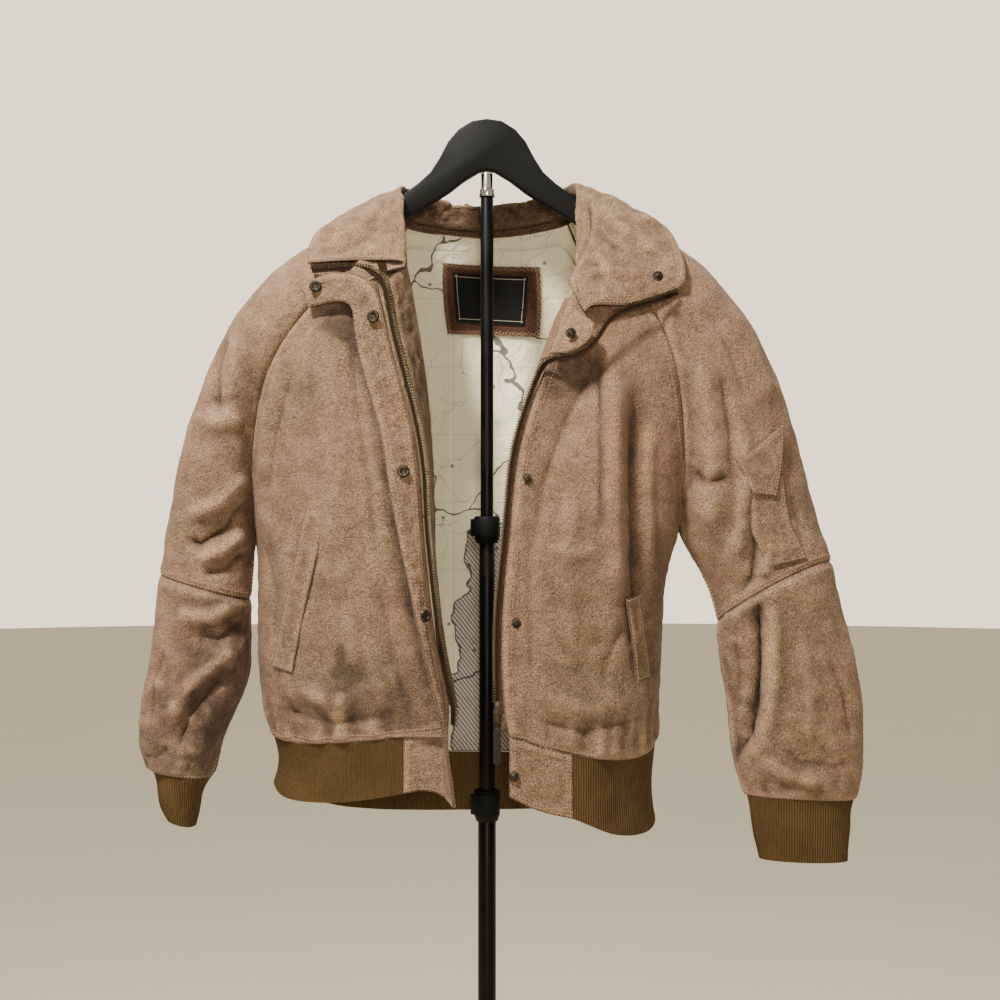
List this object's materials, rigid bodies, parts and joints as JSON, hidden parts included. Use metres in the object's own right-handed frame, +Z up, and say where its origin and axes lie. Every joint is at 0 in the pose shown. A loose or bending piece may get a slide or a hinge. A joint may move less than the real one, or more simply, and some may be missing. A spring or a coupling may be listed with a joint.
{
  "type": "worn leather jacket on a garment stand",
  "caption": "Worn raglan bomber jacket in brown leather, hanging open on a black telescopic garment stand with a round base.",
  "frame": {"origin": "on the floor under the middle of the stand's round base", "axes": "+Z up along the pole, -Y to the front of the jacket, +X to the wearer's left"},
  "size_m": [0.805, 0.34, 1.571],
  "materials": {
    "leather": "worn tan nubuck leather, fine pebble grain, pale at folds and edges",
    "collar_leather": "worn yellowish tan leather, creased",
    "dark_leather": "dark brown smooth leather",
    "rib_knit": "olive brown rib knit",
    "lining_cotton": "cream cotton printed with a chart-like line pattern",
    "zip_tape": "dark brown woven tape with brass teeth",
    "black_weave": "black satin weave with a thin pale frame",
    "antique_brass": "antique brass, rubbed bright at the rims",
    "black_paint": "satin black paint",
    "black_plastic": "matte black moulded plastic",
    "chrome": "polished chrome"
  },
  "bodies": {
    "base": {"base_plate": "black_paint", "lower_tube": "black_paint", "lower_clamp": "black_plastic"},
    "lower_lever": {"lower_clamp_lever": "black_plastic"},
    "middle_stage": {"middle_tube": "black_paint", "upper_clamp": "black_plastic"},
    "upper_lever": {"upper_clamp_lever": "black_plastic"},
    "jacket": {"upper_tube": "black_paint", "ferrule": "chrome", "hanger_head": "black_plastic", "right_front": "leather", "left_front": "leather", "back": "leather", "right_sleeve_upper": "leather", "right_sleeve_lower": "leather", "left_sleeve_upper": "leather", "left_sleeve_lower": "leather", "right_hem_tab": "leather", "left_hem_tab": "leather", "right_cuff": "rib_knit", "left_cuff": "rib_knit", "hem_rib": "rib_knit", "right_welt": "leather", "left_welt": "leather", "sleeve_pocket": "leather", "sleeve_pocket_flap": "leather", "collar": "collar_leather", "right_facing": "collar_leather", "left_lapel": "collar_leather", "storm_flap": "leather", "right_zip_tape": "zip_tape", "left_zip_tape": "zip_tape", "lining": "lining_cotton", "label_patch": "dark_leather", "label_woven": "black_weave", "socket_snap_1": "antique_brass", "socket_snap_2": "antique_brass", "socket_snap_3": "antique_brass", "socket_snap_4": "antique_brass", "stud_snap_1": "antique_brass", "stud_snap_2": "antique_brass", "stud_snap_3": "antique_brass", "stud_snap_4": "antique_brass", "stud_snap_5": "antique_brass", "zip_slider": "antique_brass"},
    "pull": {"pull_tab": "antique_brass", "leather_pull": "dark_leather"}
  },
  "joints": [
    {"name": "lower_slide", "type": "slide", "parent": "base", "child": "middle_stage", "axis": [0, 0, 1], "range_m": [-0.2, 0.05]},
    {"name": "upper_slide", "type": "slide", "parent": "middle_stage", "child": "jacket", "axis": [0, 0, 1], "range_m": [-0.2, 0.05]},
    {"name": "lower_lever_hinge", "type": "hinge", "parent": "base", "child": "lower_lever", "pos_m": [0.0111, -0.0132, 0.811], "axis": [0, 0, 1], "range_deg": [0, 110]},
    {"name": "upper_lever_hinge", "type": "hinge", "parent": "middle_stage", "child": "upper_lever", "pos_m": [0.0111, -0.0132, 1.1175], "axis": [0, 0, 1], "range_deg": [0, 110]},
    {"name": "pull_hinge", "type": "hinge", "parent": "jacket", "child": "pull", "pos_m": [0.0115, -0.1097, 0.9265], "axis": [-1, 0, 0], "range_deg": [0, 165]}
  ]
}
